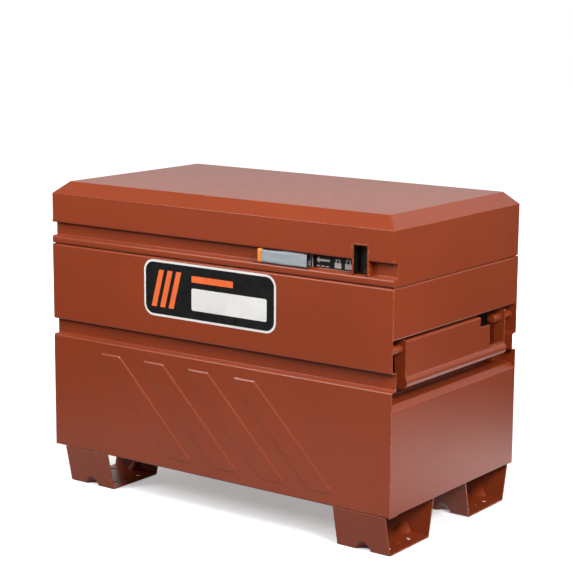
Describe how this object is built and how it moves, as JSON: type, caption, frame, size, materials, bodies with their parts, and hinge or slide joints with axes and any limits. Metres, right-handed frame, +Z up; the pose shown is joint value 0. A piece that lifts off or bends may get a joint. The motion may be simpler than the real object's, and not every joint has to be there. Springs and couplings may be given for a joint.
{
  "type": "jobsite storage box",
  "caption": "Steel jobsite storage box on channel feet, with a chamfered hinged lid, sliding lock, recessed drop handles and gas springs.",
  "frame": {"origin": "centre of the bounding box, on the floor", "axes": "+X along the width to the right seen from the front, +Y to the rear, +Z up"},
  "size_m": [0.9164, 0.521, 0.697],
  "materials": {
    "body_enamel": "semi-gloss enamel",
    "plated_steel": "zinc plated",
    "brushed_steel": "brushed along its length",
    "flag_orange": "gloss",
    "black_rubber": "matt",
    "black_plastic": "moulded",
    "black_enamel": "semi-gloss",
    "chrome_rod": "polished"
  },
  "bodies": {
    "chest": {"cord_port_grommet": "black_rubber", "cord_port_rim": "black_plastic", "floor_panel": "body_enamel", "front_left_foot": "body_enamel", "front_panel": "body_enamel", "front_right_foot": "body_enamel", "hinge_body_leaf": "body_enamel", "hinge_pin": "plated_steel", "left_end_panel": "body_enamel", "left_handle_pins": "body_enamel", "left_spring_base_bracket": "plated_steel", "left_spring_base_stud": "plated_steel", "lock_keepers": "plated_steel", "rear_left_foot": "body_enamel", "rear_panel": "body_enamel", "rear_right_foot": "body_enamel", "right_end_panel": "body_enamel", "right_handle_pins": "body_enamel", "right_spring_base_bracket": "plated_steel", "right_spring_base_stud": "plated_steel", "rim_bumpers": "black_rubber"},
    "lid": {"lid_shell": "body_enamel", "left_lid_stiffener": "body_enamel", "right_lid_stiffener": "body_enamel", "hinge_lid_leaf": "body_enamel", "padlock_housing": "body_enamel", "padlock_staple": "plated_steel", "left_lock_guide": "plated_steel", "middle_lock_guide": "plated_steel", "right_lock_guide": "plated_steel", "left_spring_lid_bracket": "plated_steel", "right_spring_lid_bracket": "plated_steel"},
    "lock_slide": {"slide_bar": "brushed_steel", "position_flag": "flag_orange", "slide_studs": "plated_steel", "lock_bar": "plated_steel", "left_lock_hook": "plated_steel", "right_lock_hook": "plated_steel"},
    "left_handle": {"left_handle_plate": "body_enamel", "left_handle_front_cheek": "body_enamel", "left_handle_rear_cheek": "body_enamel"},
    "right_handle": {"right_handle_plate": "body_enamel", "right_handle_front_cheek": "body_enamel", "right_handle_rear_cheek": "body_enamel"},
    "left_cylinder": {"left_spring_cylinder": "black_enamel"},
    "right_cylinder": {"right_spring_cylinder": "black_enamel"},
    "left_rod": {"left_spring_rod": "chrome_rod", "left_spring_lid_stud": "plated_steel"},
    "right_rod": {"right_spring_rod": "chrome_rod", "right_spring_lid_stud": "plated_steel"}
  },
  "joints": [
    {"name": "lid_hinge", "type": "hinge", "parent": "chest", "child": "lid", "pos_m": [0, 0.256, 0.557], "axis": [-1, 0, 0], "range_deg": [0, 90]},
    {"name": "lock_travel", "type": "slide", "parent": "lid", "child": "lock_slide", "axis": [1, 0, 0], "range_m": [0, 0.04]},
    {"name": "left_handle_pivot", "type": "hinge", "parent": "chest", "child": "left_handle", "pos_m": [-0.4372, 0, 0.4245], "axis": [0, 1, 0], "range_deg": [0, 90]},
    {"name": "right_handle_pivot", "type": "hinge", "parent": "chest", "child": "right_handle", "pos_m": [0.4372, 0, 0.4245], "axis": [0, -1, 0], "range_deg": [0, 90]},
    {"name": "left_spring_tilt", "type": "hinge", "parent": "chest", "child": "left_cylinder", "pos_m": [-0.4152, 0.0605, 0.518], "axis": [-1, 0, 0], "range_deg": [0, 5.35]},
    {"name": "left_spring_stroke", "type": "slide", "parent": "left_cylinder", "child": "left_rod", "axis": [0, 0.9191, 0.3939], "range_m": [0, 0.06251]},
    {"name": "right_spring_tilt", "type": "hinge", "parent": "chest", "child": "right_cylinder", "pos_m": [0.4152, 0.0605, 0.518], "axis": [-1, 0, 0], "range_deg": [0, 5.35]},
    {"name": "right_spring_stroke", "type": "slide", "parent": "right_cylinder", "child": "right_rod", "axis": [0, 0.9191, 0.3939], "range_m": [0, 0.06251]}
  ],
  "couplings": [
    {"joint": "left_spring_tilt", "follows": "lid_hinge", "ratio": 0.057173},
    {"joint": "left_spring_stroke", "follows": "lid_hinge", "m_per_rad": 0.039479},
    {"joint": "right_spring_tilt", "follows": "lid_hinge", "ratio": 0.057173},
    {"joint": "right_spring_stroke", "follows": "lid_hinge", "m_per_rad": 0.039479}
  ]
}
